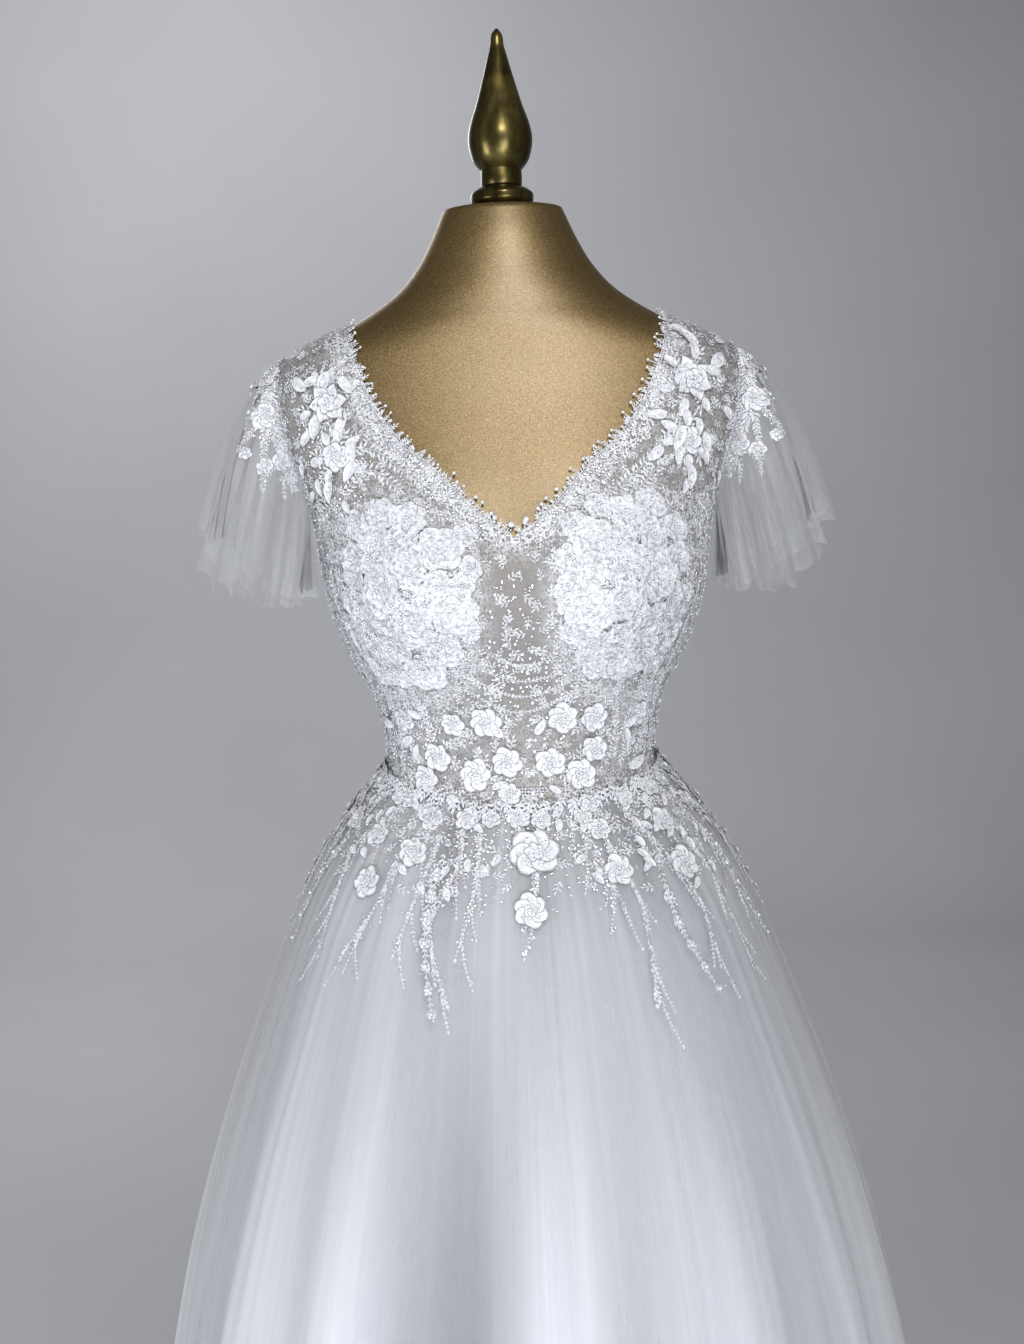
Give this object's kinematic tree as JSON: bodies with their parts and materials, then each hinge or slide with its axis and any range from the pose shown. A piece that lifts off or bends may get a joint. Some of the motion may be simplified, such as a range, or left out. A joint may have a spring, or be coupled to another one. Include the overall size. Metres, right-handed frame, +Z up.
{
  "type": "wedding dress on a dress form",
  "caption": "Floor-length wedding gown with a deep V neck, flutter sleeves, raised lace flowers and a layered tulle skirt, worn by a limbless dress form with a turned finial on a pole stand.",
  "frame": {"origin": "on the floor under the middle of the hem, which is the middle of the stand's base", "axes": "+Z up the stand; the front of the dress faces -Y; the dress's right edge in the picture is at +X"},
  "size_m": [0.9028, 0.7712, 1.7083],
  "materials": {
    "gold_fabric": "old-gold stretch fabric with a soft sheen, drawn smooth over padding",
    "aged_brass": "turned and worn, olive brown in the hollows and yellow where light catches it",
    "stand_metal": "satin black",
    "net": "matt sheer net, embroidered and beaded",
    "cup_satin": "satin over foam",
    "lining": "opaque satin with a soft sheen",
    "tulle": "fine translucent tulle, gathered",
    "applique": "white guipure and organza lace with sequins and beads"
  },
  "bodies": {
    "root": {"form_torso": "gold_fabric", "finial": "aged_brass", "stand_base": "stand_metal", "stand_pole": "stand_metal", "bodice_front": "net", "bodice_back_left": "net", "bodice_back_right": "net", "cup_left": "cup_satin", "cup_right": "cup_satin", "bone_left": "cup_satin", "bone_right": "cup_satin", "edging_front_left": "applique", "edging_front_right": "applique", "edging_back_left": "applique", "edging_back_right": "applique", "sleeve_left": "tulle", "sleeve_right": "tulle", "skirt_lining_front_left": "lining", "skirt_lining_front_right": "lining", "skirt_lining_side_left": "lining", "skirt_lining_side_right": "lining", "skirt_lining_back_left": "lining", "skirt_lining_back_right": "lining", "skirt_tulle_inner": "tulle", "skirt_tulle_outer_front": "tulle", "skirt_tulle_outer_back": "tulle", "flower_shoulder_left": "applique", "flower_shoulder_right": "applique", "flower_armhole_left": "applique", "flower_armhole_right": "applique", "flower_cup_upper_left": "applique", "flower_cup_upper_right": "applique", "flower_cup_side_left": "applique", "flower_cup_side_right": "applique", "flower_cup_middle_left": "applique", "flower_cup_middle_right": "applique", "flower_cup_lower_left": "applique", "flower_cup_lower_right": "applique", "flower_midriff_left": "applique", "flower_midriff_right": "applique", "flower_waist_left": "applique", "flower_waist_right": "applique", "flower_side_left": "applique", "flower_side_right": "applique", "flower_drop_centre": "applique", "flower_drop_lower": "applique", "flower_drop_left": "applique", "flower_drop_right": "applique", "flower_hip_left": "applique", "flower_hip_right": "applique", "spray_front_left": "applique", "spray_front_right": "applique", "spray_side_left": "applique", "spray_side_right": "applique", "spray_hip_left": "applique", "spray_hip_right": "applique", "spray_back_left": "applique", "spray_back_right": "applique", "spray_back_middle": "applique"}
  },
  "joints": []
}
